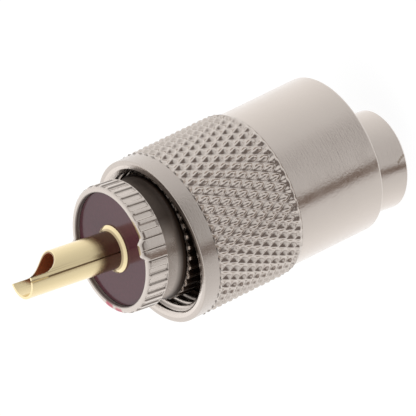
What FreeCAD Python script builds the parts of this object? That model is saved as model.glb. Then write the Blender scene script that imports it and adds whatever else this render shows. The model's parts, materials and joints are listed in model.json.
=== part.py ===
# A cable plug for coaxial leads, of the kind that screws onto a 5/8-24 socket.
# Millimetres. Z runs along the body from the cable end up to the centre pin.
# The origin is the middle of the flat cable end, on which the plug stands.
# The coupling ring hangs loose on the body and rests cocked, leaning towards +X.
import FreeCAD, Part
import math
import os
import Sketcher

doc = FreeCAD.newDocument("cable_plug")

# How far a cutting outline passes the metal that it cuts, in millimetres
OVERCUT = "0.5"

# Driving dimensions: name, value in millimetres or degrees, what it is
SIZES = [
    ("cock_angle", 6.77, "lean of the resting ring, in degrees"),
    ("running_gap", 0.10, "clearance left between ring and body where they come closest"),
    ("collar_reach", 5.05, "how far the body's rim stands out of the ring's mouth"),
    ("tail_reach", 5.73, "how far the cable tail stands out of the ring's rear"),
    ("pivot_depth", 5.09, "distance from the ring's mouth to where the two axes cross"),
    ("crest_radius", 7.35, "crest of the ring's 5/8-24 female thread"),
    ("thread_length", 4.2, "threaded stretch behind the ring's mouth"),
    ("mouth_chamfer", 0.56, "45 degree lead-in at the ring's mouth"),
    ("mouth_bevel", 0.22, "bevel on the outer edge of the ring's mouth"),
    ("band_length", 1.90, "plain band in front of the knurl"),
    ("band_rise", 0.35, "plain band above the smooth skirt"),
    ("knurl_length", 10.55, "diamond knurl along the ring"),
    ("knurl_rise", 0.45, "knurl crests above the smooth skirt"),
    ("knurl_depth", 0.40, "knurl crests above the groove crossings"),
    ("knurl_starts", 48, "grooves of either hand round the ring"),
    ("knurl_rows", 10, "staggered half diamonds along the ring"),
    ("skirt_length", 10.95, "smooth skirt behind the knurl"),
    ("skirt_wall", 0.655, "wall of the smooth skirt"),
    ("skirt_bevel", 0.30, "bevel on the outer edge at the ring's rear"),
    ("shoulder_catch", 0.25, "retaining shoulder above the thread crest"),
    ("shoulder_width", 1.8, "width of the retaining shoulder"),
    ("collar_step", 0.08, "fluted collar above the toothed flange"),
    ("collar_length", 2.45, "fluted collar behind the rim"),
    ("flute_count", 36, "evenly spaced places for flutes, three at each key holding a fine line"),
    ("flute_width", 0.70, "width of a flute"),
    ("flute_depth", 0.16, "depth of a flute"),
    ("flute_land", 0.10, "land left at either end of a flute"),
    ("scribe_width", 0.10, "width of the fine lines that take a flute's place at a key"),
    ("scribe_depth", 0.10, "depth of those fine lines"),
    ("flute_lead", -0.8, "turn from a key's middle to the nearest flute place, in degrees"),
    ("key_height", 0.50, "locating key above the rim"),
    ("key_base", 2.20, "width of a key at the rim"),
    ("key_top", 1.00, "width of a key at its top"),
    ("waist_length", 2.10, "smooth waist between collar and toothed flange"),
    ("waist_step", 0.05, "waist below the tooth roots"),
    ("flange_length", 2.4, "toothed flange along the body"),
    ("tooth_depth", 0.33, "depth of the grooves between the teeth"),
    ("tooth_gap", 0.86, "width of those grooves at the tooth tips"),
    ("flange_bevel", 0.42, "bevel along the front of the toothed flange"),
    ("barrel_step", 0.07, "barrel below the tooth roots"),
    ("barrel_clearance", 0.30, "room between the barrel's rear edge and the ring"),
    ("tail_radius", 5.20, "cable tail"),
    ("tail_bevel", 0.25, "bevel on the tail's outer edge"),
    ("cable_radius", 4.0, "bore for the cable"),
    ("solder_radius", 1.3, "solder holes through the barrel"),
    ("solder_count", 4, "solder holes round the barrel"),
    ("collar_wall", 0.745, "wall of the collar round the insulator's seat"),
    ("face_depth", 0.50, "insulator's face below the rim"),
    ("disc_thickness", 1.9, "insulator's wide front disc"),
    ("hub_radius", 4.6, "insulator's hub behind the disc"),
    ("hub_length", 4.4, "insulator's hub"),
    ("seat_gap", 0.04, "clearance round the insulator and the pin in it"),
    ("pin_radius", 2.0, "centre pin"),
    ("shank_radius", 2.2, "the pin's shank in the insulator"),
    ("pin_wall", 0.28, "wall of the tubular pin"),
    ("pin_reach", 11.1, "pin's tip above the rim"),
    ("pin_tail", 1.2, "solder end of the pin behind the insulator"),
    ("well_room", 0.4, "room behind the pin's solder end in the hub's well"),
    ("pin_flange_width", 0.52, "flange round the pin on the insulator's face"),
    ("pin_flange_height", 0.50, "height of that flange, with its sloping shoulder"),
    ("pin_flange_edge", 0.15, "straight edge of that flange"),
    ("scoop_length", 2.0, "straight floor of the scoop at the tip"),
    ("scoop_radius", 2.7, "round end of the scoop"),
    ("scoop_floor", 0.07, "scoop's floor below the pin's axis"),
    ("seam_width", 0.16, "open seam along the rolled pin"),
    ("seam_mouth", 0.22, "open seam at the tip"),
    ("seam_flare", 2.4, "stretch over which the seam widens"),
    ("seam_turn", 255.4, "turn from the scoop's opening to the seam, in degrees"),
    ("key_turn", 100.3, "turn of the keys round the body, in degrees"),
    ("scoop_turn", 200.3, "turn of the scoop's opening, in degrees"),
]

sheet = doc.addObject("Spreadsheet::Sheet", "Sizes")
for row, (alias, value, meaning) in enumerate(SIZES, start=1):
    sheet.set("A%d" % row, alias)
    sheet.set("B%d" % row, str(value))
    sheet.set("C%d" % row, meaning)
    sheet.setAlias("B%d" % row, alias)

# Sizes that follow from the driving ones
FITS = [
    ("lean_cos", "cos(Sizes.cock_angle)"),
    ("lean_sin", "sin(Sizes.cock_angle)"),
    ("ring_length", "Sizes.band_length + Sizes.knurl_length + Sizes.skirt_length"),
    ("mouth_height", "Sizes.tail_reach + Fits.ring_length * Fits.lean_cos"),
    ("pivot_height", "Fits.mouth_height - Sizes.pivot_depth * Fits.lean_cos"),
    ("rim_height", "Fits.mouth_height + Sizes.collar_reach"),
    # the flange just clears the first thread crest on the side to which the ring leans away
    ("flange_radius", "Sizes.crest_radius * Fits.lean_cos"
                      " - (Sizes.pivot_depth - Sizes.mouth_chamfer) * Fits.lean_sin - Sizes.running_gap"),
    ("collar_radius", "Fits.flange_radius + Sizes.collar_step"),
    ("seat_radius", "Fits.collar_radius - Sizes.collar_wall"),
    ("tooth_root", "Fits.flange_radius - Sizes.tooth_depth"),
    ("waist_radius", "Fits.tooth_root - Sizes.waist_step"),
    ("barrel_radius", "Fits.tooth_root - Sizes.barrel_step"),
    # the shoulder lies against the rear end of the thread and turns inside the relief bore
    ("shoulder_radius", "Sizes.crest_radius + Sizes.shoulder_catch"),
    ("shoulder_depth", "Sizes.thread_length + Sizes.running_gap"
                       " + Sizes.shoulder_width / 2 * Fits.lean_cos + Fits.shoulder_radius * Fits.lean_sin"),
    ("shoulder_height", "Fits.pivot_height + (Sizes.pivot_depth - Fits.shoulder_depth) / Fits.lean_cos"),
    ("relief_radius", "Fits.shoulder_radius * Fits.lean_cos + Sizes.shoulder_width / 2 * Fits.lean_sin"
                      " + abs(Fits.shoulder_depth - Sizes.pivot_depth) * Fits.lean_sin / Fits.lean_cos"
                      " + Sizes.running_gap"),
    ("barrel_height", "Fits.pivot_height - (Fits.relief_radius / Fits.lean_cos - Fits.barrel_radius"
                      " - Sizes.barrel_clearance) * Fits.lean_cos / Fits.lean_sin"),
    ("skirt_radius", "Fits.relief_radius + Sizes.skirt_wall"),
    ("band_radius", "Fits.skirt_radius + Sizes.band_rise"),
    ("knurl_radius", "Fits.skirt_radius + Sizes.knurl_rise"),
    ("knurl_root", "Fits.knurl_radius - Sizes.knurl_depth"),
    # the knurl is a sleeve that reaches half way into the wall, and the blank overlaps half of that
    ("knurl_bore", "(Fits.knurl_root + Fits.relief_radius) / 2"),
    ("knurl_core", "(Fits.knurl_root + Fits.knurl_bore) / 2"),
    ("face_height", "Fits.rim_height - Sizes.face_depth"),
    ("disc_height", "Fits.face_height - Sizes.disc_thickness"),
    ("hub_height", "Fits.disc_height - Sizes.hub_length"),
    ("well_floor", "Fits.hub_height - Sizes.pin_tail - Sizes.well_room"),
    ("collar_height", "Fits.rim_height - Sizes.collar_length"),
    ("flange_height", "Fits.collar_height - Sizes.waist_length"),
    ("flange_foot", "Fits.flange_height - Sizes.flange_length"),
    ("tip_height", "Fits.rim_height + Sizes.pin_reach"),
    ("flute_pitch", "360 / Sizes.flute_count"),
]

fits = doc.addObject("App::VarSet", "Fits")
for name, rule in FITS:
    fits.addProperty("App::PropertyFloat", name)
    fits.setExpression(name, rule)
    doc.recompute()


def origin_plane(body, role):
    return next(plane for plane in body.Origin.OriginFeatures if plane.Role == role)


def worked_out(rule):
    return float(fits.evalExpression(rule))


def arc_between(start, end, radius, centre_on_left):
    """The short arc between two points, with its centre left or right of the way from start to end."""
    chord = end - start
    rise = math.sqrt(radius ** 2 - (chord.Length / 2) ** 2)
    left = FreeCAD.Vector(-chord.y, chord.x, 0).normalize()
    centre = (start + end) / 2 + left * (rise if centre_on_left else -rise)
    first, last = (start, end) if centre_on_left else (end, start)
    circle = Part.Circle(centre, FreeCAD.Vector(0, 0, 1), radius)
    return Part.ArcOfCircle(circle, circle.parameter(first), circle.parameter(last))


def draw_loop(sketch, corners):
    """Draws a closed outline whose corners are pairs of rules. A third entry rounds the side that
    follows the corner: the arc's radius, then whether its centre is on the left of that side."""
    places = [FreeCAD.Vector(worked_out(corner[0]), worked_out(corner[1]), 0) for corner in corners]
    sides = []
    for index, corner in enumerate(corners):
        start, end = places[index], places[(index + 1) % len(corners)]
        if len(corner) == 2:
            sides.append((sketch.addGeometry(Part.LineSegment(start, end)), 1, 2))
            continue
        radius_rule, centre_on_left = corner[2], corner[3]
        arc = arc_between(start, end, worked_out(radius_rule), centre_on_left)
        side = sketch.addGeometry(arc)
        held = sketch.addConstraint(Sketcher.Constraint("Radius", side, arc.Radius))
        sketch.setExpression("Constraints[%d]" % held, radius_rule)
        sides.append((side, 1, 2) if centre_on_left else (side, 2, 1))
    for index, (side, first, last) in enumerate(sides):
        following, its_first, _ = sides[(index + 1) % len(sides)]
        sketch.addConstraint(Sketcher.Constraint("Coincident", side, last, following, its_first))
        for kind, rule, value in (("DistanceX", corners[index][0], places[index].x),
                                  ("DistanceY", corners[index][1], places[index].y)):
            held = sketch.addConstraint(Sketcher.Constraint(kind, -1, 1, side, first, value))
            sketch.setExpression("Constraints[%d]" % held, rule)


def new_sketch(body, name, role):
    sketch = body.newObject("Sketcher::SketchObject", name)
    sketch.AttachmentSupport = [(origin_plane(body, role), "")]
    sketch.MapMode = "FlatFace"
    return sketch


def turned_section(body, name, corners):
    """A solid turned about Z from one closed outline of (radius, height) corners."""
    sketch = new_sketch(body, name + "_section", "XZ_Plane")
    draw_loop(sketch, corners)
    turning = body.newObject("PartDesign::Revolution", name)
    turning.Profile = sketch
    turning.ReferenceAxis = (sketch, ["V_Axis"])
    turning.Angle = 360
    doc.recompute()
    return turning


def facing_sketch(body, name, azimuth, distance):
    """A sketch that faces outwards at an azimuth, its X sideways and its Y up, at a distance from Z."""
    sketch = new_sketch(body, name + "_outline", "YZ_Plane")
    sketch.AttachmentOffset = FreeCAD.Placement(
        FreeCAD.Vector(0, 0, 0), FreeCAD.Rotation(FreeCAD.Vector(0, 1, 0), 1))
    sketch.setExpression("AttachmentOffset.Rotation.Angle", azimuth)
    sketch.setExpression("AttachmentOffset.Base.x", "(%s) * sin(%s)" % (distance, azimuth))
    sketch.setExpression("AttachmentOffset.Base.z", "(%s) * cos(%s)" % (distance, azimuth))
    return sketch


def cut(body, name, sketch, both_ways=False, outwards=False, depth=None):
    """Cuts a sketch through the solid, or to a depth, and makes sure that metal was removed."""
    before = body.Shape.Volume
    pocket = body.newObject("PartDesign::Pocket", name)
    pocket.Profile = sketch
    pocket.Type = "ThroughAll" if depth is None else "Length"
    pocket.Midplane = both_ways
    pocket.Reversed = outwards
    if depth is not None:
        pocket.setExpression("Length", depth)
    doc.recompute()
    if not body.Shape.Volume < before:
        raise RuntimeError(name + " removes nothing")
    return pocket


def repeat(body, name, features, count, angle):
    """Repeats features round Z over an angle."""
    pattern = body.newObject("PartDesign::PolarPattern", name)
    pattern.Originals = features
    pattern.Axis = (origin_plane(body, "Z_Axis"), [""])
    pattern.setExpression("Angle", angle)
    pattern.setExpression("Occurrences", count)
    body.Tip = pattern
    doc.recompute()
    return pattern


def make_plug_body():
    """The turned metal body: keyed rim, fluted collar, waist, toothed flange, shoulder, barrel, tail."""
    body = doc.addObject("PartDesign::Body", "plug_body")
    key_tip = "Fits.rim_height + Sizes.key_height"
    shoulder_top = "Fits.shoulder_height + Sizes.shoulder_width / 2"
    shoulder_foot = "Fits.shoulder_height - Sizes.shoulder_width / 2"
    turned_section(body, "turned_body", [
        ("Sizes.cable_radius", "0"),
        ("Sizes.tail_radius - Sizes.tail_bevel", "0"),
        ("Sizes.tail_radius", "Sizes.tail_bevel"),
        ("Sizes.tail_radius", "Fits.barrel_height"),
        ("Fits.barrel_radius", "Fits.barrel_height"),
        ("Fits.barrel_radius", shoulder_foot),
        ("Fits.shoulder_radius", shoulder_foot),
        ("Fits.shoulder_radius", shoulder_top),
        ("Fits.barrel_radius", shoulder_top),
        ("Fits.barrel_radius", "Fits.flange_foot"),
        ("Fits.flange_radius", "Fits.flange_foot"),
        ("Fits.flange_radius", "Fits.flange_height - Sizes.flange_bevel"),
        ("Fits.waist_radius", "Fits.flange_height"),
        ("Fits.waist_radius", "Fits.collar_height - (Fits.collar_radius - Fits.waist_radius)"),
        ("Fits.collar_radius", "Fits.collar_height"),
        ("Fits.collar_radius", key_tip),
        ("Fits.seat_radius", key_tip),
        ("Fits.seat_radius", "Fits.disc_height"),
        ("Sizes.hub_radius", "Fits.disc_height"),
        ("Sizes.hub_radius", "Fits.well_floor"),
        ("Sizes.cable_radius", "Fits.well_floor"),
    ])

    # The rim is milled away on both sides of the two keys, which stand opposite each other
    beyond = "Fits.collar_radius + " + OVERCUT
    above = "%s + %s" % (key_tip, OVERCUT)
    keys = facing_sketch(body, "keys", "0", "0")
    for side in ("", "-"):
        draw_loop(keys, [
            (side + "(Sizes.key_base / 2)", "Fits.rim_height"),
            (side + "(%s)" % beyond, "Fits.rim_height"),
            (side + "(%s)" % beyond, above),
            (side + "(Sizes.key_top / 2)", above),
            (side + "(Sizes.key_top / 2)", key_tip),
        ])
    cut(body, "keys", keys, both_ways=True)

    # Flutes on either half of the collar, and fine lines in their place at the keys
    def lines(name, width, depth, first, count, span):
        originals = []
        for half in ("0", "180"):
            azimuth = "Sizes.flute_lead + (%s) * Fits.flute_pitch + %s" % (first, half)
            part = "%s_%s" % (name, half)
            sketch = facing_sketch(body, part, azimuth, "Fits.collar_radius - Sizes.%s" % depth)
            draw_loop(sketch, [
                ("-Sizes.%s / 2" % width, "Fits.collar_height + Sizes.flute_land"),
                ("Sizes.%s / 2" % width, "Fits.collar_height + Sizes.flute_land"),
                ("Sizes.%s / 2" % width, "Fits.rim_height - Sizes.flute_land"),
                ("-Sizes.%s / 2" % width, "Fits.rim_height - Sizes.flute_land"),
            ])
            originals.append(cut(body, part, sketch, outwards=True))
        repeat(body, name, originals, count, span)

    lines("flutes", "flute_width", "flute_depth", "2", "Sizes.flute_count / 2 - 3",
          "(Sizes.flute_count / 2 - 4) * Fits.flute_pitch")
    lines("scribed_lines", "scribe_width", "scribe_depth", "-1", "3", "2 * Fits.flute_pitch")

    # V grooves along the flange leave one tooth in line with each flute
    notch = new_sketch(body, "notch_outline", "XY_Plane")
    notch.AttachmentOffset = FreeCAD.Placement(
        FreeCAD.Vector(0, 0, 0), FreeCAD.Rotation(FreeCAD.Vector(0, 0, 1), 1))
    notch.setExpression("AttachmentOffset.Base.z", "Fits.flange_height + " + OVERCUT)
    notch.setExpression("AttachmentOffset.Rotation.Angle", "Sizes.flute_lead + Fits.flute_pitch / 2")
    draw_loop(notch, [
        ("Fits.tooth_root", "0"),
        ("Fits.flange_radius", "-Sizes.tooth_gap / 2"),
        ("Fits.flange_radius + " + OVERCUT, "-Sizes.tooth_gap / 2"),
        ("Fits.flange_radius + " + OVERCUT, "Sizes.tooth_gap / 2"),
        ("Fits.flange_radius", "Sizes.tooth_gap / 2"),
    ])
    first_notch = cut(body, "notch", notch, depth="Sizes.flange_length + " + OVERCUT)
    repeat(body, "teeth", [first_notch], "Sizes.flute_count", "360")

    # Solder holes run from the barrel into the cable bore
    middle = "(%s + Fits.barrel_height) / 2" % shoulder_foot
    hole = facing_sketch(body, "solder_hole", "45", "0")
    ring = hole.addGeometry(Part.Circle(FreeCAD.Vector(0, worked_out(middle), 0), FreeCAD.Vector(0, 0, 1),
                                        worked_out("Sizes.solder_radius")))
    for kind, place, rule in (("DistanceX", 3, "0"), ("DistanceY", 3, middle)):
        held = hole.addConstraint(Sketcher.Constraint(kind, -1, 1, ring, place, worked_out(rule)))
        hole.setExpression("Constraints[%d]" % held, rule)
    held = hole.addConstraint(Sketcher.Constraint("Radius", ring, worked_out("Sizes.solder_radius")))
    hole.setExpression("Constraints[%d]" % held, "Sizes.solder_radius")
    first_hole = cut(body, "solder_hole", hole, outwards=True)
    repeat(body, "solder_holes", [first_hole], "Sizes.solder_count", "360")

    body.Placement.Rotation = FreeCAD.Rotation(FreeCAD.Vector(0, 0, 1), 1)
    body.setExpression("Placement.Rotation.Angle", "Sizes.key_turn")
    return body


def make_insulator():
    """The moulded insulator: a wide disc in the collar and a hub behind it, bored for the pin."""
    body = doc.addObject("PartDesign::Body", "insulator")
    turned_section(body, "moulded_disc", [
        ("Sizes.shank_radius + Sizes.seat_gap", "Fits.hub_height"),
        ("Sizes.hub_radius - Sizes.seat_gap", "Fits.hub_height"),
        ("Sizes.hub_radius - Sizes.seat_gap", "Fits.disc_height"),
        ("Fits.seat_radius - Sizes.seat_gap", "Fits.disc_height"),
        ("Fits.seat_radius - Sizes.seat_gap", "Fits.face_height"),
        ("Sizes.shank_radius + Sizes.seat_gap", "Fits.face_height"),
    ])
    return body


def make_centre_pin():
    """The rolled tubular pin: flanged on the insulator, scooped at the tip, with its seam open."""
    body = doc.addObject("PartDesign::Body", "centre_pin")
    pin_bore = "Sizes.pin_radius - Sizes.pin_wall"
    flange_edge = "Fits.face_height + Sizes.pin_flange_edge"
    turned_section(body, "rolled_tube", [
        (pin_bore, "Fits.hub_height - Sizes.pin_tail"),
        ("Sizes.shank_radius", "Fits.hub_height - Sizes.pin_tail"),
        ("Sizes.shank_radius", "Fits.face_height"),
        ("Sizes.pin_radius + Sizes.pin_flange_width", "Fits.face_height"),
        ("Sizes.pin_radius + Sizes.pin_flange_width", flange_edge),
        ("Sizes.pin_radius", "Fits.face_height + Sizes.pin_flange_height"),
        ("Sizes.pin_radius", "Fits.tip_height"),
        (pin_bore, "Fits.tip_height"),
    ])

    # The scoop opens the tip towards +X down to just under the axis
    side = "Sizes.pin_radius + " + OVERCUT
    top = "Fits.tip_height + " + OVERCUT
    floor_end = "Fits.tip_height - Sizes.scoop_length"
    drop = "Sizes.scoop_radius - Sizes.scoop_floor - (%s)" % side
    reach = "sqrt(Sizes.scoop_radius ^ 2 - (%s) ^ 2)" % drop
    scoop = new_sketch(body, "scoop_outline", "XZ_Plane")
    draw_loop(scoop, [
        ("-Sizes.scoop_floor", floor_end),
        ("-Sizes.scoop_floor", top),
        (side, top),
        (side, "%s - %s" % (floor_end, reach), "Sizes.scoop_radius", False),
    ])
    cut(body, "scoop", scoop, both_ways=True)

    # The seam of the rolled tube stays open and widens at the tip
    seam = facing_sketch(body, "seam", "Sizes.seam_turn", "0")
    seam_foot = "Fits.face_height + Sizes.pin_flange_height"
    flare_foot = "Fits.tip_height - Sizes.seam_flare"
    draw_loop(seam, [
        ("-Sizes.seam_width / 2", seam_foot),
        ("Sizes.seam_width / 2", seam_foot),
        ("Sizes.seam_width / 2", flare_foot),
        ("Sizes.seam_mouth / 2", top),
        ("-Sizes.seam_mouth / 2", top),
        ("-Sizes.seam_width / 2", flare_foot),
    ])
    cut(body, "seam", seam, outwards=True)

    body.Placement.Rotation = FreeCAD.Rotation(FreeCAD.Vector(0, 0, 1), 1)
    body.setExpression("Placement.Rotation.Angle", "Sizes.scoop_turn")
    return body


def knurled_sleeve(top):
    """A closed sleeve whose outside is pressed into rows of staggered four-sided pyramids. Crests and
    groove crossings take turns on a grid, and the grooves run diagonally between the crossings."""
    steps = 2 * int(sheet.knurl_starts)
    rows = int(sheet.knurl_rows)
    pitch = sheet.knurl_length / rows

    def grid_point(row, step):
        radius = fits.knurl_radius if (row + step) % 2 == 0 else fits.knurl_root
        turn = 2 * math.pi * (step % steps) / steps
        return FreeCAD.Vector(radius * math.cos(turn), radius * math.sin(turn), top - row * pitch)

    def bore_point(height, step):
        turn = 2 * math.pi * (step % steps) / steps
        return FreeCAD.Vector(fits.knurl_bore * math.cos(turn), fits.knurl_bore * math.sin(turn), height)

    def flat_face(*points):
        return Part.Face(Part.makePolygon(list(points) + [points[0]]))

    faces = []
    for row in range(rows):
        for step in range(steps):
            near, far = grid_point(row, step), grid_point(row, step + 1)
            near_below, far_below = grid_point(row + 1, step), grid_point(row + 1, step + 1)
            if (row + step) % 2 == 0:
                faces.append(flat_face(near, near_below, far))
                faces.append(flat_face(far_below, far, near_below))
            else:
                faces.append(flat_face(far, near, far_below))
                faces.append(flat_face(near_below, far_below, near))
    bottom = top - rows * pitch
    for height, row in ((top, 0), (bottom, rows)):
        rim = Part.makePolygon([grid_point(row, step) for step in range(steps + 1)])
        hole = Part.makePolygon([bore_point(height, step) for step in range(steps + 1)])
        faces.append(Part.makeFace([rim, hole], "Part::FaceMakerBullseye"))
    for step in range(steps):
        faces.append(flat_face(bore_point(top, step), bore_point(top, step + 1),
                               bore_point(bottom, step + 1), bore_point(bottom, step)))
    shell = Part.makeShell(faces)
    shell.sewShape()
    return Part.makeSolid(shell)


def make_coupling_ring():
    """The coupling ring, turned about its own axis with its local origin where the two axes cross."""
    blank = doc.addObject("PartDesign::Body", "ring_blank")

    def behind(distance):
        return "Sizes.pivot_depth - (%s)" % distance

    knurl_end = "Sizes.band_length + Sizes.knurl_length"
    turned_section(blank, "turned_ring", [
        ("Sizes.crest_radius", behind("Sizes.thread_length")),
        ("Fits.relief_radius", behind("Sizes.thread_length")),
        ("Fits.relief_radius", behind("Fits.ring_length")),
        ("Fits.skirt_radius - Sizes.skirt_bevel", behind("Fits.ring_length")),
        ("Fits.skirt_radius", behind("Fits.ring_length - Sizes.skirt_bevel")),
        ("Fits.skirt_radius", behind(knurl_end)),
        ("Fits.knurl_core", behind(knurl_end)),
        ("Fits.knurl_core", behind("Sizes.band_length")),
        ("Fits.band_radius", behind("Sizes.band_length")),
        ("Fits.band_radius", behind("Sizes.mouth_bevel")),
        ("Fits.band_radius - Sizes.mouth_bevel", behind("0")),
        ("Sizes.crest_radius + Sizes.mouth_chamfer", behind("0")),
        ("Sizes.crest_radius", behind("Sizes.mouth_chamfer")),
    ])

    knurl = doc.addObject("Part::Feature", "knurl")
    knurl.Shape = knurled_sleeve(sheet.pivot_depth - sheet.band_length)

    ring = doc.addObject("Part::Fuse", "coupling_ring")
    ring.Base = blank
    ring.Tool = knurl
    ring.Placement.Rotation = FreeCAD.Rotation(FreeCAD.Vector(0, 1, 0), 1)
    ring.setExpression("Placement.Rotation.Angle", "Sizes.cock_angle")
    ring.setExpression("Placement.Base.z", "Fits.pivot_height")
    doc.recompute()
    return ring


parts = [make_plug_body(), make_insulator(), make_centre_pin(), make_coupling_ring()]
doc.recompute()

for item in doc.Objects:
    if "Invalid" in item.State or "Error" in item.State:
        raise RuntimeError("%s did not build: %s" % (item.Name, item.State))
for part in parts:
    if part.Shape.isNull() or not part.Shape.isValid():
        raise RuntimeError(part.Label + " has no valid shape")
    if len(part.Shape.Solids) != 1:
        raise RuntimeError(part.Label + " is not one solid")

os.makedirs("parts", exist_ok=True)
for part in parts:
    part.Shape.exportStep(os.path.join("parts", part.Label + ".step"))
    box = part.Shape.BoundBox
    print("%-14s faces %5d  volume %8.2f  x %.2f %.2f  y %.2f %.2f  z %.2f %.2f" % (
        part.Label, len(part.Shape.Faces), part.Shape.Volume,
        box.XMin, box.XMax, box.YMin, box.YMax, box.ZMin, box.ZMax))
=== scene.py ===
"""Looks of a screw-on coaxial cable plug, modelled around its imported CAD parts.

The plug stands on its cable end at the origin with its centre pin up along Z. Lengths are written in
millimetres and turned into metres as they reach a mesh, a material, the lamp or the camera.
"""

import json
import math

import bmesh
import bpy
from mathutils import Matrix, Vector


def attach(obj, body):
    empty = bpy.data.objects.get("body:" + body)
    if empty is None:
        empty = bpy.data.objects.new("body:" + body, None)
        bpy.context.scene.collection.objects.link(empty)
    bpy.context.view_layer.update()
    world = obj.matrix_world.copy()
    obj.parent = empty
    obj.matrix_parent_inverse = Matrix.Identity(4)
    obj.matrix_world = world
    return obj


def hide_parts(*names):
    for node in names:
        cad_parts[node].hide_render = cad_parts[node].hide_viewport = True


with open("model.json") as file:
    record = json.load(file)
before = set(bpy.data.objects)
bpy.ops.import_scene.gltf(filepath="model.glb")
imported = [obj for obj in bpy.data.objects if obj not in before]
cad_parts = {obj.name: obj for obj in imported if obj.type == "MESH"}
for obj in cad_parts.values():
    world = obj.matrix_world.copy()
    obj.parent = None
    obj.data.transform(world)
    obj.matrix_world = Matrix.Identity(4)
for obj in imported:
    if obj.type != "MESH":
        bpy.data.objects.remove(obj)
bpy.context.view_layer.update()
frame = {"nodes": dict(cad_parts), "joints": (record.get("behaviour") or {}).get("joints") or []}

MM = 0.001
SAME_RADIUS = 0.001            # radii closer than this are one radius
SAME_ROW = 0.01                # heights closer than this are one row of points
OUTER_FACE = 0.3               # points this far outside a bore are on the outer face around it

# Sizes of the coupling ring, in mm
PIVOT_DEPTH = 5.09             # from the ring's mouth back to the joint's point on its axis
BAND_LENGTH = 1.90
KNURL_LENGTH = 10.70
SKIRT_LENGTH = 10.80
RING_LENGTH = BAND_LENGTH + KNURL_LENGTH + SKIRT_LENGTH
BAND_RADIUS = 8.862
SKIRT_RADIUS = 8.527
RELIEF_RADIUS = 7.872
KNURL_CREST = 8.977
KNURL_ROOT = 8.577
KNURL_STARTS = 48
KNURL_ROWS = 10
KNURL_LEAD = 0.04              # from the band to the first row of peaks
KNURL_DIP = 0.12               # groove crossings below the root, before the facets are softened
KNURL_PEAK = 0.17              # peaks above the crest, before they are cut off level with it
KNURL_CUTS = 3                 # new points on each of its edges
KNURL_PASSES = 2               # softening passes, and the share by which each moves a point
KNURL_SOFTNESS = 0.4
LIP_WIDTH = 0.20               # plain lip that the knurl leaves at its rear edge
LIP_RISE = 0.30                # and its height above the skirt
LIP_BEVEL = (0.14, 0.10)       # its rear bevel begins so far below its edge and behind the knurl
LIP_FOOT = 0.14                # and it meets the skirt so far behind the knurl
BAND_BEVEL = (0.04, 0.05)      # drop and width of the bevel on the band's rear edge
THREAD_CREST = 7.35
THREAD_ROOT = 7.94
THREAD_PITCH = 25.4 / 24
THREAD_LENGTH = 4.2
THREAD_LEAD = 0.3              # so far in, no root is wider than the mouth's chamfer
THREAD_END = (0.2, 0.02)       # the last roots end so far before the thread does and inside the relief
MOUTH_CHAMFER = 0.68
MOUTH_ROUNDING = 0.12
REAR_ROUNDING = 0.30
BORE_ROUNDING = 0.12

# Sizes of the body's front, in mm and degrees
RIM_HEIGHT = 34.017
RIM_ROUNDING = 0.40
COLLAR_HEIGHT = 31.567
COLLAR_RADIUS = 6.745
COLLAR_EDGE = 0.04             # rounding of the collar's rear edge
COLLAR_ROWS = (33.58, 33.1, 32.6, 32.1, 31.80, 31.72, 31.64)    # closer where the flutes end
WAIST_RADIUS = 6.285
WAIST_FILLET = 0.15
WAIST_FOOT = 29.46             # where the copy of the turned body is cut off
FRONT_FOOT = 29.15             # where the modelled front ends, over the bevel of the toothed flange
WAIST_FLARE = (                # radius and height of the points between the straight waist and that end
    (WAIST_RADIUS, 30.70), (6.290, 30.45), (6.305, 30.20), (6.330, 29.95), (6.370, 29.70), (6.440, 29.45),
    (6.580, FRONT_FOOT),
)
SEAT_RADIUS = 6.0
SEAT_FLOOR = 31.617
SEAT_ROUNDING = 0.14
HUB_RADIUS = 4.6
KEY_TURN = 100.3
KEY_HEIGHT = 0.50
KEY_BASE = 2.40
KEY_TOP = 1.10
FLUTE_LEAD = -0.8              # from a key's middle to the nearest flute's place
FLUTE_COUNT = 36
FLUTE_FLOOR = 6.54
FLUTE_SPAN = (31.69, 33.86)    # heights between which the flutes are cut
FLUTE_HALF = 3.5               # half a flute's width in degrees, at its mouth and at its floor
FLUTE_FLOOR_HALF = 2.6
LINE_DEPTH = 0.13              # fine lines that take a flute's place at the keys
LINE_HALF = 0.8

# Sizes of the pin, in mm and degrees
TIP_HEIGHT = 45.117            # the CAD pin's tip
PIN_TIP = 44.98                # where the visual pin ends
SCOOP_FOOT = 40.0              # below the scoop
SCOOP_SHORTENING = 0.85
SEAM_AZIMUTH = 95.7
BACKING_SIZE = (0.05, 0.30)    # thickness and width of the strip behind the seam
BACKING_RADIUS = 1.755
BACKING_FOOT = 34.117


def linear(hex_colour):
    """An sRGB colour written as hex, turned to the linear values that shaders take."""
    channels = [int(hex_colour[place:place + 2], 16) / 255 for place in (1, 3, 5)]
    return [value / 12.92 if value <= 0.04045 else ((value + 0.055) / 1.055) ** 2.4
            for value in channels] + [1.0]


def add_node(tree, kind, inputs=None, **settings):
    """Adds a node with its own settings; its inputs are given as values or as sockets to link."""
    made = tree.nodes.new(kind)
    for name, value in settings.items():
        setattr(made, name, value)
    for name, value in (inputs or {}).items():
        if isinstance(value, bpy.types.NodeSocket):
            tree.links.new(value, made.inputs[name])
        else:
            made.inputs[name].default_value = value
    return made


# Camera
VIEW_AZIMUTH = math.radians(110.3)
VIEW_ELEVATION = math.radians(31.74)
PIN_TURN = math.radians(108.82)     # the pin points down and to the left in the picture
FRAME_WIDTH = 41.93                 # mm of the object across the picture
RIM_OFF_CENTRE = (9.88, 4.24)       # mm from the rim's middle to the picture's, rightwards and upwards
VIEW_DISTANCE = 907.0
SENSOR_WIDTH = 36.0
CLIP_DISTANCES = (50, 20000)


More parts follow.
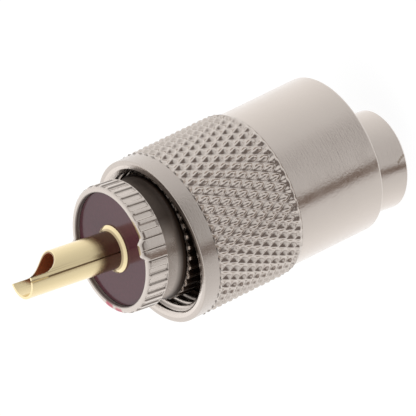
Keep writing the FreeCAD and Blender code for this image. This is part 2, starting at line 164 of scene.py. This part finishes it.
def set_up_camera():
    """A long lens, because the photograph shows hardly any perspective."""
    towards = Vector((math.cos(VIEW_ELEVATION) * math.cos(VIEW_AZIMUTH),
                      math.cos(VIEW_ELEVATION) * math.sin(VIEW_AZIMUTH),
                      math.sin(VIEW_ELEVATION)))
    pin_on_picture = (Vector((0, 0, 1)) - towards * towards.z).normalized()
    up = Matrix.Rotation(-PIN_TURN, 3, towards) @ pin_on_picture
    right = up.cross(towards)
    aim = Vector((0, 0, RIM_HEIGHT)) + right * RIM_OFF_CENTRE[0] + up * RIM_OFF_CENTRE[1]
    place = Matrix((right, up, towards)).transposed().to_4x4()
    place.translation = (aim + towards * VIEW_DISTANCE) * MM
    lens = bpy.data.cameras.new("camera")
    lens.sensor_width = SENSOR_WIDTH
    lens.lens = SENSOR_WIDTH * VIEW_DISTANCE / FRAME_WIDTH
    lens.clip_start, lens.clip_end = [distance * MM for distance in CLIP_DISTANCES]
    camera = bpy.data.objects.new("camera", lens)
    camera.matrix_world = place
    bpy.context.scene.collection.objects.link(camera)
    bpy.context.scene.camera = camera


# Materials
def new_material(name):
    """A material of its own, its node tree and its Principled shader."""
    material = bpy.data.materials.new(name)
    material.use_nodes = True
    return material, material.node_tree, material.node_tree.nodes["Principled BSDF"]


def round_axis(tree, place):
    """The separate coordinates of a place, and its distance from the Z axis."""
    parts = add_node(tree, "ShaderNodeSeparateXYZ", {"Vector": place})
    flat = add_node(tree, "ShaderNodeCombineXYZ", {"X": parts.outputs["X"], "Y": parts.outputs["Y"]})
    radius = add_node(tree, "ShaderNodeVectorMath", {0: flat.outputs["Vector"]}, operation="LENGTH")
    return parts, radius.outputs["Value"]


def zone_mask(tree, place, groups):
    """A mask over zones of a part, for painted shade on the metal and for bare brass in the pin. Each group
    has a strength and ramps, from none to full, over the height, the radius or X, "side", in mm. The ramps
    of a group are multiplied and the greatest group wins."""
    parts, radius = round_axis(tree, place)
    quantities = {"height": parts.outputs["Z"], "radius": radius, "side": parts.outputs["X"]}
    greatest = None
    for strength, *ramps in groups:
        product = strength
        for quantity, none, full in ramps:
            ramp = add_node(tree, "ShaderNodeMapRange", {
                "Value": quantities[quantity], "From Min": none * MM, "From Max": full * MM,
            }).outputs["Result"]
            product = add_node(tree, "ShaderNodeMath", {0: ramp, 1: product},
                               operation="MULTIPLY").outputs["Value"]
        greatest = product if greatest is None else add_node(
            tree, "ShaderNodeMath", {0: greatest, 1: product}, operation="MAXIMUM").outputs["Value"]
    return greatest


def nickel_plate(name, painted_shade_zones, smears=(), lean=None):
    """Bright nickel plate over turned brass: a warm, slightly clouded mirror. The tool's fine marks run
    round the axis, along the cylinders and in rings on the faces, and handling leaves it unevenly dull.
    Painted shade darkens and dulls it over given zones, in place of shade and of dark parts that it mirrors.
    Smears are thin stains: colour, half width, places."""
    material, tree, shader = new_material(name)
    shader.inputs["Metallic"].default_value = 1.0

    place = add_node(tree, "ShaderNodeTexCoord").outputs["Object"]
    if lean is not None:
        turned_back = lean.inverted()
        place = add_node(tree, "ShaderNodeMapping", {
            "Vector": place,
            "Location": turned_back.translation,
            "Rotation": turned_back.to_euler(),
        }).outputs["Vector"]
    parts, radius = round_axis(tree, place)
    along = add_node(tree, "ShaderNodeMath", {0: parts.outputs["Z"], 1: radius}, operation="ADD")
    # tool marks about 0.2 mm apart, coarser than the real feed so that they show at all
    marks = add_node(tree, "ShaderNodeTexNoise", {
        "W": along.outputs["Value"], "Scale": 1 / (0.2 * MM), "Detail": 3.0, "Roughness": 0.6,
    }, noise_dimensions="1D")
    # clouding in patches of some 2 mm
    clouds = add_node(tree, "ShaderNodeTexNoise", {
        "Vector": place, "Scale": 1 / (2.0 * MM), "Detail": 4.0, "Roughness": 0.6,
    })
    colour = linear("#D9CFC7")
    dullness = add_node(tree, "ShaderNodeMapRange", {
        "Value": clouds.outputs["Fac"], "From Min": 0.3, "From Max": 0.7, "To Min": 0.14, "To Max": 0.24,
    }).outputs["Result"]
    for stain, half_width, places in smears:
        edge = add_node(tree, "ShaderNodeMath", {0: clouds.outputs["Fac"], 1: 0.8 * half_width * MM,
                                                 2: -0.4 * half_width * MM}, operation="MULTIPLY_ADD")
        for spot in places:
            away = add_node(tree, "ShaderNodeVectorMath", {
                0: place, 1: [value * MM for value in spot]}, operation="DISTANCE")
            ragged = add_node(tree, "ShaderNodeMath", {0: away.outputs["Value"], 1: edge.outputs["Value"]},
                              operation="ADD")
            inside = add_node(tree, "ShaderNodeMapRange", {
                "Value": ragged.outputs["Value"], "From Min": half_width * MM,
                "From Max": 0.4 * half_width * MM, "To Min": 0.0, "To Max": 0.8,
            })
            colour = add_node(tree, "ShaderNodeMix", {
                "Factor": inside.outputs["Result"], "A": colour, "B": linear(stain),
            }, data_type="RGBA").outputs["Result"]
    # painted shade: a dark brown and a duller finish over the given zones
    painted_shade = zone_mask(tree, place, painted_shade_zones)
    colour = add_node(tree, "ShaderNodeMix", {
        "Factor": painted_shade, "A": colour, "B": linear("#3A2F28"),
    }, data_type="RGBA")
    dullness = add_node(tree, "ShaderNodeMix", {"Factor": painted_shade, "A": dullness, "B": 0.45})
    tree.links.new(colour.outputs["Result"], shader.inputs["Base Color"])
    tree.links.new(dullness.outputs["Result"], shader.inputs["Roughness"])
    # a fine grain under the plate, some 0.3 mm across, breaks up the mirror
    grain = add_node(tree, "ShaderNodeTexNoise", {
        "Vector": place, "Scale": 1 / (0.3 * MM), "Detail": 3.0, "Roughness": 0.7,
    })
    rough = add_node(tree, "ShaderNodeBump", {
        "Height": grain.outputs["Fac"], "Strength": 0.5, "Distance": 0.03 * MM,
    })
    relief = add_node(tree, "ShaderNodeBump", {
        "Height": marks.outputs["Fac"], "Strength": 0.5, "Distance": 0.013 * MM,
        "Normal": rough.outputs["Normal"],
    })
    tree.links.new(relief.outputs["Normal"], shader.inputs["Normal"])
    return material


def gilt_brass(name):
    """Thin gold plate on rolled brass strip: a pale yellow mirror with faint drawing lines along the pin.
    Painted shade darkens it at its root, for the dark insulator that it mirrors, in its flange's corner and
    inside the seam. The plate is missing inside the tube, where dull red-brown shows."""
    material, tree, shader = new_material(name)
    place = add_node(tree, "ShaderNodeTexCoord").outputs["Object"]
    # drawing lines 0.15 mm apart round the pin and several millimetres long
    squeezed = add_node(tree, "ShaderNodeMapping", {"Vector": place, "Scale": (1.0, 1.0, 0.03)})
    lines = add_node(tree, "ShaderNodeTexNoise", {
        "Vector": squeezed.outputs["Vector"], "Scale": 1 / (0.15 * MM), "Detail": 2.0,
    })
    dullness = add_node(tree, "ShaderNodeMapRange", {
        "Value": lines.outputs["Fac"], "From Min": 0.3, "From Max": 0.7, "To Min": 0.16, "To Max": 0.24,
    })
    # painted shade: at the root of the pin, in the corner on its flange, and inside the seam
    pin_painted_shade = zone_mask(tree, place, (
        (0.5, ("height", 36.2, 35.8), ("height", 34.0, 34.1)),
        (0.5, ("radius", 2.24, 2.14), ("height", 34.2, 34.1)),
        (0.75, ("radius", 1.92, 1.86), ("height", 43.0, 42.7)),
    ))
    bare = zone_mask(tree, place, ((1.0, ("radius", 1.76, 1.735), ("height", 42.6, 42.0)),))
    # the gilt turns dark brown under the painted shade
    gilt_with_painted_shade = add_node(tree, "ShaderNodeMix", {
        "Factor": pin_painted_shade, "A": linear("#F6E3B6"), "B": linear("#5A3522"),
    }, data_type="RGBA")
    colour = add_node(tree, "ShaderNodeMix", {
        "Factor": bare, "A": gilt_with_painted_shade.outputs["Result"], "B": linear("#B46A42"),
    }, data_type="RGBA")
    dull = add_node(tree, "ShaderNodeMix", {"Factor": bare, "A": dullness.outputs["Result"], "B": 0.6})
    metal = add_node(tree, "ShaderNodeMapRange", {"Value": bare, "To Min": 1.0, "To Max": 0.3})
    tree.links.new(colour.outputs["Result"], shader.inputs["Base Color"])
    tree.links.new(dull.outputs["Result"], shader.inputs["Roughness"])
    tree.links.new(metal.outputs["Result"], shader.inputs["Metallic"])
    relief = add_node(tree, "ShaderNodeBump", {
        "Height": lines.outputs["Fac"], "Strength": 0.2, "Distance": 0.004 * MM,
    })
    tree.links.new(relief.outputs["Normal"], shader.inputs["Normal"])
    return material


def phenolic(name):
    """Moulded phenolic resin: a dark red-brown body under a hard gloss, with a faint filler mottle."""
    material, tree, shader = new_material(name)
    shader.inputs["IOR"].default_value = 1.48
    shader.inputs["Roughness"].default_value = 0.16
    place = add_node(tree, "ShaderNodeTexCoord").outputs["Object"]
    # wood-flour filler shows as specks of about 0.3 mm
    specks = add_node(tree, "ShaderNodeTexNoise", {
        "Vector": place, "Scale": 1 / (0.3 * MM), "Detail": 3.0, "Roughness": 0.6,
    })
    body = add_node(tree, "ShaderNodeMix", {
        "Factor": specks.outputs["Fac"], "A": linear("#44202A"), "B": linear("#582C38"),
    }, data_type="RGBA")
    tree.links.new(body.outputs["Result"], shader.inputs["Base Color"])
    return material


# Small modelling helpers
SHARP_ANGLE = 25                    # edges of the CAD parts that bend by more degrees are broken


def finished(name, shape, material):
    """Turns a finished bmesh into a piece of the object, smooth-shaded, with its place in its mesh."""
    mesh = bpy.data.meshes.new(name)
    shape.to_mesh(mesh)
    shape.free()
    mesh.shade_smooth()
    mesh.materials.append(material)
    piece = bpy.data.objects.new(name, mesh)
    bpy.context.scene.collection.objects.link(piece)
    return piece


def turned(outline, steps):
    """A body turned about Z from a closed outline of (radius, height) corners in millimetres."""
    shape = bmesh.new()
    corners = [shape.verts.new((radius * MM, 0, height * MM)) for radius, height in outline]
    sides = [shape.edges.new(pair) for pair in zip(corners, corners[1:] + corners[:1])]
    bmesh.ops.spin(shape, geom=corners + sides, cent=(0, 0, 0), axis=(0, 0, 1), dvec=(0, 0, 0),
                   angle=2 * math.pi, steps=steps, use_merge=True)
    bmesh.ops.remove_doubles(shape, verts=shape.verts, dist=0.0005 * MM)
    bmesh.ops.recalc_face_normals(shape, faces=shape.faces)
    return shape


def rounded(first, corner, last, radius, segments=3):
    """Points of a rounded corner in an outline, between the directions to the corners on either side."""
    corner = Vector(corner)
    to_first = (Vector(first) - corner).normalized()
    to_last = (Vector(last) - corner).normalized()
    half = to_first.angle(to_last) / 2
    middle = corner + (to_first + to_last).normalized() * radius / math.sin(half)
    start = corner + to_first * radius / math.tan(half)
    end = corner + to_last * radius / math.tan(half)
    sweep = (start - middle).angle_signed(end - middle)
    return [tuple(middle + Matrix.Rotation(-sweep * step / segments, 2) @ (start - middle))
            for step in range(segments + 1)]


def shade_evenly(piece):
    """Lets the large faces rule the shading, so that small roundings don't bend it."""
    even = piece.modifiers.new("even shading", "WEIGHTED_NORMAL")
    even.mode = "FACE_AREA"
    even.weight = 80


# Coupling ring
def make_coupling_ring(lean, material):
    """The loose ring: plain band, diamond knurl and smooth skirt outside, thread and relief inside."""
    columns = 2 * KNURL_STARTS

    def behind(distance):
        return PIVOT_DEPTH - distance

    knurl_top = behind(BAND_LENGTH)
    knurl_end = behind(BAND_LENGTH + KNURL_LENGTH)
    first_row = knurl_top - KNURL_LEAD
    last_row = knurl_end + LIP_WIDTH
    edge_radius = SKIRT_RADIUS + LIP_RISE
    knurl_pitch = (first_row - last_row) / KNURL_ROWS
    # inside, from the thread's rear end to the ring's rear, then forwards along the outside
    outline = [(RELIEF_RADIUS, behind(THREAD_LENGTH))]
    rear = behind(RING_LENGTH)
    outline += rounded((RELIEF_RADIUS, 0), (RELIEF_RADIUS, rear), (9, rear), BORE_ROUNDING)
    outline += rounded((8, rear), (SKIRT_RADIUS, rear), (SKIRT_RADIUS, 0), REAR_ROUNDING, 5)
    outline += [(SKIRT_RADIUS, knurl_end - LIP_FOOT),
                (edge_radius - LIP_BEVEL[0], knurl_end - LIP_BEVEL[1])]
    outline += [(KNURL_CREST, first_row - row * knurl_pitch) for row in reversed(range(KNURL_ROWS + 1))]
    outline += [(BAND_RADIUS - BAND_BEVEL[0], knurl_top), (BAND_RADIUS, knurl_top + BAND_BEVEL[1])]
    outline += rounded((BAND_RADIUS, 0), (BAND_RADIUS, behind(0)), (8, behind(0)), MOUTH_ROUNDING, 4)
    thread_rows = 32
    outline += [(THREAD_CREST + MOUTH_CHAMFER, behind(0))]
    outline += [(THREAD_CREST, behind(THREAD_LENGTH * (row + 0.5) / (thread_rows + 0.5)))
                for row in range(thread_rows + 1)]
    shape = turned(outline, columns)

    # the female thread: each point of the bore goes out to its place on the helix or on the lead-in.
    # The root's flat is an eighth of the pitch wide and the crest's a quarter.
    for vertex in shape.verts:
        radius = math.hypot(vertex.co.x, vertex.co.y) / MM
        depth = PIVOT_DEPTH - vertex.co.z / MM
        if abs(radius - THREAD_CREST) > SAME_RADIUS:
            continue
        turn = math.atan2(vertex.co.y, vertex.co.x) / (2 * math.pi)
        phase = (depth / THREAD_PITCH + turn) % 1
        climb = min(1, max(0, (abs(phase - 0.5) - 0.0625) / 0.3125))
        wall = THREAD_ROOT - (THREAD_ROOT - THREAD_CREST) * climb
        wall = max(wall, THREAD_CREST + MOUTH_CHAMFER - depth)
        wall = min(wall, THREAD_CREST + MOUTH_CHAMFER if depth < THREAD_LEAD else THREAD_ROOT)
        if depth > THREAD_LENGTH - THREAD_END[0]:
            wall = min(wall, RELIEF_RADIUS - THREAD_END[1])
        vertex.co.xy *= wall / radius

    # the knurl: groove crossings pressed in, grooves creased between them, then all of it softened
    knurl, low = set(), set()
    for vertex in shape.verts:
        radius = math.hypot(vertex.co.x, vertex.co.y) / MM
        if abs(radius - KNURL_CREST) > SAME_RADIUS:
            continue
        knurl.add(vertex)
        step = round(math.atan2(vertex.co.y, vertex.co.x) / (2 * math.pi) * columns)
        row = round((first_row - vertex.co.z / MM) / knurl_pitch)
        if (step + row) % 2:
            low.add(vertex)
            vertex.co.xy *= (KNURL_ROOT - KNURL_DIP) / radius
        else:
            vertex.co.xy *= (KNURL_CREST + KNURL_PEAK) / radius
    for face in [face for face in shape.faces if all(vertex in knurl for vertex in face.verts)]:
        bmesh.utils.face_split(face, *[vertex for vertex in face.verts if vertex in low])
    edges = [edge for edge in shape.edges if edge.verts[0] in knurl and edge.verts[1] in knurl]
    bmesh.ops.subdivide_edges(shape, edges=edges, cuts=KNURL_CUTS, use_grid_fill=True)
    soft = [vertex for vertex in shape.verts
            if last_row + SAME_ROW < vertex.co.z / MM < first_row - SAME_ROW
            and math.hypot(vertex.co.x, vertex.co.y) / MM > RELIEF_RADIUS + OUTER_FACE]
    for _ in range(KNURL_PASSES):
        bmesh.ops.smooth_vert(shape, verts=soft, factor=KNURL_SOFTNESS, use_axis_x=True, use_axis_y=True,
                              use_axis_z=True)
    # the peaks are cut level, and those at the rear slope down to the lip
    for vertex in shape.verts:
        radius = math.hypot(vertex.co.x, vertex.co.y) / MM
        height = vertex.co.z / MM
        limit = KNURL_CREST
        if height > last_row - SAME_ROW:
            limit = min(limit, edge_radius + height - last_row)
        if radius > limit:
            vertex.co.xy *= limit / radius
        elif abs(height - last_row) < SAME_ROW and radius > RELIEF_RADIUS + OUTER_FACE:
            vertex.co.xy *= edge_radius / radius

    bmesh.ops.transform(shape, matrix=lean, verts=shape.verts)
    return finished("coupling_ring_knurled", shape, material)


# Body, pin and insulator
def make_front(material):
    """The front of the body: waist, fluted collar, rounded rim with its two keys, and insulator's seat."""
    pitch = 360 / FLUTE_COUNT
    # places of the columns of points in each pitch, in degrees, round a flute and round a fine line
    wall_middle = (FLUTE_HALF + FLUTE_FLOOR_HALF) / 2
    across_flute = (-5.0, -4.2, -FLUTE_HALF, -wall_middle, -FLUTE_FLOOR_HALF, -1.3, 0.0,
                    1.3, FLUTE_FLOOR_HALF, wall_middle, FLUTE_HALF, 4.2)
    across_line = (-5.0, -3.2, -1.6, -LINE_HALF, -0.4, -0.2, 0.0, 0.2, 0.4, LINE_HALF, 1.6, 3.2)
    columns = FLUTE_COUNT * len(across_flute)
    outline = [(HUB_RADIUS, FRONT_FOOT), (HUB_RADIUS, SEAT_FLOOR), (SEAT_RADIUS, SEAT_FLOOR)]
    outline += rounded((SEAT_RADIUS, 0), (SEAT_RADIUS, RIM_HEIGHT), (7, RIM_HEIGHT), SEAT_ROUNDING)
    outline += rounded((6, RIM_HEIGHT), (COLLAR_RADIUS, RIM_HEIGHT), (COLLAR_RADIUS, 0), RIM_ROUNDING, 6)
    outline += [(COLLAR_RADIUS, height) for height in COLLAR_ROWS]
    outline += rounded((COLLAR_RADIUS, 34), (COLLAR_RADIUS, COLLAR_HEIGHT), (6, COLLAR_HEIGHT), COLLAR_EDGE)
    # the waist is straight behind the collar and then opens over the flange's bevel
    outline += rounded((7, COLLAR_HEIGHT), (WAIST_RADIUS, COLLAR_HEIGHT), (WAIST_RADIUS, 30), WAIST_FILLET)
    outline += WAIST_FLARE
    shape = turned(outline, columns)

    for vertex in shape.verts:
        radius = vertex.co.xy.length / MM
        height = vertex.co.z / MM
        column = round(math.degrees(math.atan2(vertex.co.y, vertex.co.x)) % 360 * columns / 360) % columns
        flute, slot = divmod(column, len(across_flute))
        lined = (flute + 1) % (FLUTE_COUNT // 2) < 3
        offset = (across_line if lined else across_flute)[slot]
        turn = math.radians(KEY_TURN + FLUTE_LEAD + flute * pitch + offset)
        if radius > SEAT_RADIUS + OUTER_FACE and FLUTE_SPAN[0] < height < FLUTE_SPAN[1]:
            if lined:
                radius -= LINE_DEPTH * max(0, 1 - abs(offset) / LINE_HALF)
            else:
                inside = min(1, max(0, (FLUTE_HALF - abs(offset)) / (FLUTE_HALF - FLUTE_FLOOR_HALF)))
                radius -= max(0, radius - FLUTE_FLOOR) * inside
        if height > RIM_HEIGHT - RIM_ROUNDING - SAME_ROW:
            aside = abs(radius * math.sin(turn - math.radians(KEY_TURN)))
            climb = min(1, max(0, (KEY_BASE / 2 - aside) / (KEY_BASE / 2 - KEY_TOP / 2)))
            height += KEY_HEIGHT * climb * climb * (3 - 2 * climb)
        vertex.co = Vector((radius * math.cos(turn), radius * math.sin(turn), height)) * MM
    bmesh.ops.recalc_face_normals(shape, faces=shape.faces)
    return finished("body_collar_fluted", shape, material)


def finish_tip(shape):
    """Shortens the pin's scoop and lays a strip behind the seam, where the real rolled edges meet."""
    for vertex in shape.verts:
        if vertex.co.z > SCOOP_FOOT * MM:
            vertex.co.z = PIN_TIP * MM - (TIP_HEIGHT * MM - vertex.co.z) * SCOOP_SHORTENING
    top = PIN_TIP - 0.02
    thickness, width = BACKING_SIZE
    strip = bmesh.ops.create_cube(shape, size=1)["verts"]
    bmesh.ops.scale(shape, vec=(thickness * MM, width * MM, (top - BACKING_FOOT) * MM), verts=strip)
    bmesh.ops.translate(shape, vec=(BACKING_RADIUS * MM, 0, (top + BACKING_FOOT) / 2 * MM), verts=strip)
    bmesh.ops.rotate(shape, cent=(0, 0, 0), matrix=Matrix.Rotation(math.radians(SEAM_AZIMUTH), 3, "Z"),
                     verts=strip)


def softened_copy(node, name, material, edge, top=None, change=None):
    """A copy of a CAD part with its facets merged and its edges broken by a small rounding. Above a given
    height in mm it is cut off and closed, and a change can be made to it before."""
    shape = bmesh.new()
    shape.from_mesh(frame["nodes"][node].data)
    bmesh.ops.remove_doubles(shape, verts=shape.verts, dist=0.002 * MM)
    bmesh.ops.dissolve_limit(shape, angle_limit=math.radians(1), verts=shape.verts, edges=shape.edges)
    if change is not None:
        change(shape)
    if top is not None:
        cut = bmesh.ops.bisect_plane(shape, geom=shape.verts[:] + shape.edges[:] + shape.faces[:],
                                     plane_co=(0, 0, top * MM), plane_no=(0, 0, 1), clear_outer=True)
        bmesh.ops.bridge_loops(shape, edges=[part for part in cut["geom_cut"]
                                             if isinstance(part, bmesh.types.BMEdge)])
        bmesh.ops.recalc_face_normals(shape, faces=shape.faces)
    piece = finished(name, shape, material)
    rounding = piece.modifiers.new("broken edges", "BEVEL")
    rounding.width = edge * MM
    rounding.segments = 2
    rounding.limit_method = "ANGLE"
    rounding.angle_limit = math.radians(SHARP_ANGLE)
    rounding.use_clamp_overlap = True
    rounding.harden_normals = False
    shade_evenly(piece)
    return piece


# The pieces, and where shade is painted on them

# Each group of painted shade holds a strength and ramps from none to full. Lengths are in mm, on the ring
# from its pivot.
# painted shade inside the ring, and a slightly darker band
RING_PAINTED_SHADE = (
    (1.0, ("radius", 8.25, 8.20), ("radius", 7.50, 7.70), ("height", 4.50, 4.20)),    # painted shade in the thread roots
    (1.0, ("radius", 8.25, 8.20), ("height", 2.80, 1.20)),                            # painted shade behind the thread
    (0.20, ("radius", 8.30, 8.40), ("height", 3.10, 3.20)),                           # band, darkened a little
)
# painted shade on the body where the ring covers it
BODY_PAINTED_SHADE = (
    (1.0, ("height", 28.85, 28.70), ("height", 6.5, 9.0)),                            # painted shade inside the ring
    (0.85, ("height", 28.98, 29.05)),                                                 # painted shade on the flange's bevel
)
TAIL_MARK = ("#A09080", 0.20, ((-1.30, 5.03, 0.35), (-1.18, 5.06, 0.62), (-1.02, 5.10, 0.88),
                               (-0.84, 5.13, 1.10)))
# painted shade on the front of the body, and a slightly darker rim
FRONT_PAINTED_SHADE = (
    (0.36, ("height", 31.60, 31.50)),                                                 # painted shade on the waist
    (0.85, ("height", 31.60, 31.40), ("side", 0.2, -3.4)),                            # painted shadow on its far side
    (1.0, ("height", 30.60, 29.50)),                                                  # painted shade beside the flange
    (0.6, ("radius", 6.16, 6.08), ("height", 33.50, 33.55)),                          # painted shade in the insulator's seat
    (0.45, ("radius", 6.73, 6.70), ("radius", 6.55, 6.59), ("height", 31.50, 31.60),  # painted shade on the flute walls
     ("height", 33.80, 33.70)),
    (0.1, ("height", 33.70, 33.90)),                                                  # rim, darkened a little
)
RIM_STAINS = ("#C0566C", 0.40, ((6.07, -1.86, 34.0), (6.16, -1.54, 34.0), (6.23, -1.21, 34.0),
                                (6.49, -0.34, 33.95), (6.50, 0.00, 33.95), (6.49, 0.34, 33.95)))

joint = frame["joints"][0]
ring_axis = Vector(joint["axis"]).normalized()
lean = (Matrix.Translation(Vector(joint["pos_m"]))
        @ Vector((0, 0, 1)).rotation_difference(ring_axis).to_matrix().to_4x4())

set_up_camera()

ring = make_coupling_ring(lean, nickel_plate("nickel_plate_on_ring", RING_PAINTED_SHADE, lean=lean))
shade_evenly(ring)
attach(ring, "ring")
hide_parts("coupling_ring")

body = softened_copy("plug_body", "body_turned",
                     nickel_plate("nickel_plate_on_body", BODY_PAINTED_SHADE, (TAIL_MARK,)), 0.05, top=WAIST_FOOT)
front = make_front(nickel_plate("nickel_plate_on_collar", FRONT_PAINTED_SHADE, (RIM_STAINS,)))
for piece in (body, front):
    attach(piece, "plug")
    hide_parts("plug_body")

pin = softened_copy("centre_pin", "pin_rolled", gilt_brass("gilt_brass"), 0.04, change=finish_tip)
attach(pin, "plug")
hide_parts("centre_pin")

disc = softened_copy("insulator", "insulator_moulded", phenolic("phenolic"), 0.03)
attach(disc, "plug")
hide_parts("insulator")


# Floor, lamp and surroundings

# Azimuths and spreads are in degrees. A spread is where a fade ends and where it begins. Heights are
# the Z of a direction, from -1 straight down to 1 straight up.
FLOOR_REACH = 1500             # mm
LAMP_PLACE = (250, 350, 600)   # mm
LAMP_WIDTH = 500               # mm
LAMP_POWER = 1.2               # W
TENT_DARK_SIDE = 112
TENT_LEVEL, TENT_FALL = 0.91, -0.29
SPOT_AZIMUTH, SPOT_SPREAD = 107, (52, 28)
SPOT_HEIGHT, SPOT_RISE = 0.10, (0.60, 0.28)
SPOT_SHADE = (0.28, 0.24, 0.225, 1)
GAP_AZIMUTH, GAP_SPREAD = 75, (11, 4)
GAP_TOP = (-0.15, -0.35)
GAP_COLOUR = (0.18, 0.125, 0.098, 1)


def set_up_floor():
    """A plain white floor. It shows its soft shadow to the camera and stays out of the mirrors."""
    shape = bmesh.new()
    bmesh.ops.create_grid(shape, x_segments=1, y_segments=1, size=FLOOR_REACH * MM)
    mesh = bpy.data.meshes.new("floor")
    shape.to_mesh(mesh)
    shape.free()
    floor = bpy.data.objects.new("floor", mesh)
    bpy.context.scene.collection.objects.link(floor)
    floor.visible_glossy = False
    material = bpy.data.materials.new("white_floor")
    material.use_nodes = True
    tree = material.node_tree
    tree.nodes.clear()
    path = add_node(tree, "ShaderNodeLightPath")
    shown = add_node(tree, "ShaderNodeMix", {
        "Factor": path.outputs["Is Camera Ray"], "A": linear("#F2F2F2"), "B": linear("#616161"),
    }, data_type="RGBA")
    matt = add_node(tree, "ShaderNodeBsdfDiffuse", {"Color": shown.outputs["Result"]})
    glow = add_node(tree, "ShaderNodeEmission", {
        "Color": linear("#F7F7F7"), "Strength": path.outputs["Is Camera Ray"]})
    both = add_node(tree, "ShaderNodeAddShader", {0: matt.outputs["BSDF"], 1: glow.outputs["Emission"]})
    add_node(tree, "ShaderNodeOutputMaterial", {"Surface": both.outputs["Shader"]})
    mesh.materials.append(material)


def set_up_world():
    """A white tent round the plug. It is darker on the side of the viewer, below whom there is the darkest
    spot, and its flaps leave a narrow brown gap low on one side. The metal takes its tones from these."""
    world = bpy.data.worlds.new("light_tent")
    bpy.context.scene.world = world
    world.use_nodes = True
    tree = world.node_tree
    tree.nodes.clear()
    direction = add_node(tree, "ShaderNodeTexCoord").outputs["Generated"]

    dark_side = math.radians(TENT_DARK_SIDE)
    side = add_node(tree, "ShaderNodeVectorMath", {
        0: direction, 1: (math.cos(dark_side), math.sin(dark_side), 0)}, operation="DOT_PRODUCT")
    plain = add_node(tree, "ShaderNodeMath", {0: side.outputs["Value"], 1: TENT_FALL, 2: TENT_LEVEL},
                     operation="MULTIPLY_ADD")
    parts = add_node(tree, "ShaderNodeSeparateXYZ", {"Vector": direction})
    azimuth = add_node(tree, "ShaderNodeMath", {0: parts.outputs["Y"], 1: parts.outputs["X"]},
                       operation="ARCTAN2")

    def fade(value, middle, none, full):
        """1 within a distance of the middle, 0 beyond a greater one."""
        off = add_node(tree, "ShaderNodeMath", {0: value, 1: middle}, operation="SUBTRACT")
        away = add_node(tree, "ShaderNodeMath", {0: off.outputs["Value"]}, operation="ABSOLUTE")
        return add_node(tree, "ShaderNodeMapRange", {
            "Value": away.outputs["Value"], "From Min": none, "From Max": full,
        }, interpolation_type="SMOOTHSTEP").outputs["Result"]

    dark_round = fade(azimuth.outputs["Value"], math.radians(SPOT_AZIMUTH), *map(math.radians, SPOT_SPREAD))
    dark_high = fade(parts.outputs["Z"], SPOT_HEIGHT, *SPOT_RISE)
    dark = add_node(tree, "ShaderNodeMath", {0: dark_round, 1: dark_high}, operation="MULTIPLY")
    shade = add_node(tree, "ShaderNodeMix", {
        "Factor": dark.outputs["Value"], "A": (1, 1, 1, 1), "B": SPOT_SHADE,
    }, data_type="RGBA")
    toned = add_node(tree, "ShaderNodeMix", {
        "Factor": 1.0, "A": plain.outputs["Value"], "B": shade.outputs["Result"],
    }, data_type="RGBA", blend_type="MULTIPLY")
    gap_round = fade(azimuth.outputs["Value"], math.radians(GAP_AZIMUTH), *map(math.radians, GAP_SPREAD))
    low = add_node(tree, "ShaderNodeMapRange", {
        "Value": parts.outputs["Z"], "From Min": GAP_TOP[0], "From Max": GAP_TOP[1], "To Max": 0.95,
    })
    gap_low = add_node(tree, "ShaderNodeMath", {0: gap_round, 1: low.outputs["Result"]},
                       operation="MULTIPLY")
    colour = add_node(tree, "ShaderNodeMix", {
        "Factor": gap_low.outputs["Value"], "A": toned.outputs["Result"], "B": GAP_COLOUR,
    }, data_type="RGBA")
    path = add_node(tree, "ShaderNodeLightPath")
    seen = add_node(tree, "ShaderNodeMix", {
        "Factor": path.outputs["Is Camera Ray"], "A": colour.outputs["Result"], "B": (1, 1, 1, 1),
    }, data_type="RGBA")
    tent = add_node(tree, "ShaderNodeBackground", {"Color": seen.outputs["Result"]})
    add_node(tree, "ShaderNodeOutputWorld", {"Surface": tent.outputs["Background"]})


def set_up_lamp():
    """One wide soft lamp, high above the plug on the viewer's side and towards X, for the floor's shadow."""
    light = bpy.data.lights.new("soft_lamp", "AREA")
    light.shape = "DISK"
    light.size = LAMP_WIDTH * MM
    light.energy = LAMP_POWER
    lamp = bpy.data.objects.new("soft_lamp", light)
    place = Vector(LAMP_PLACE) * MM
    lamp.location = place
    lamp.rotation_euler = (-place).to_track_quat("-Z", "Y").to_euler()
    lamp.visible_glossy = False
    bpy.context.scene.collection.objects.link(lamp)


set_up_floor()
set_up_world()
set_up_lamp()
bpy.context.scene.view_settings.view_transform = "Standard"
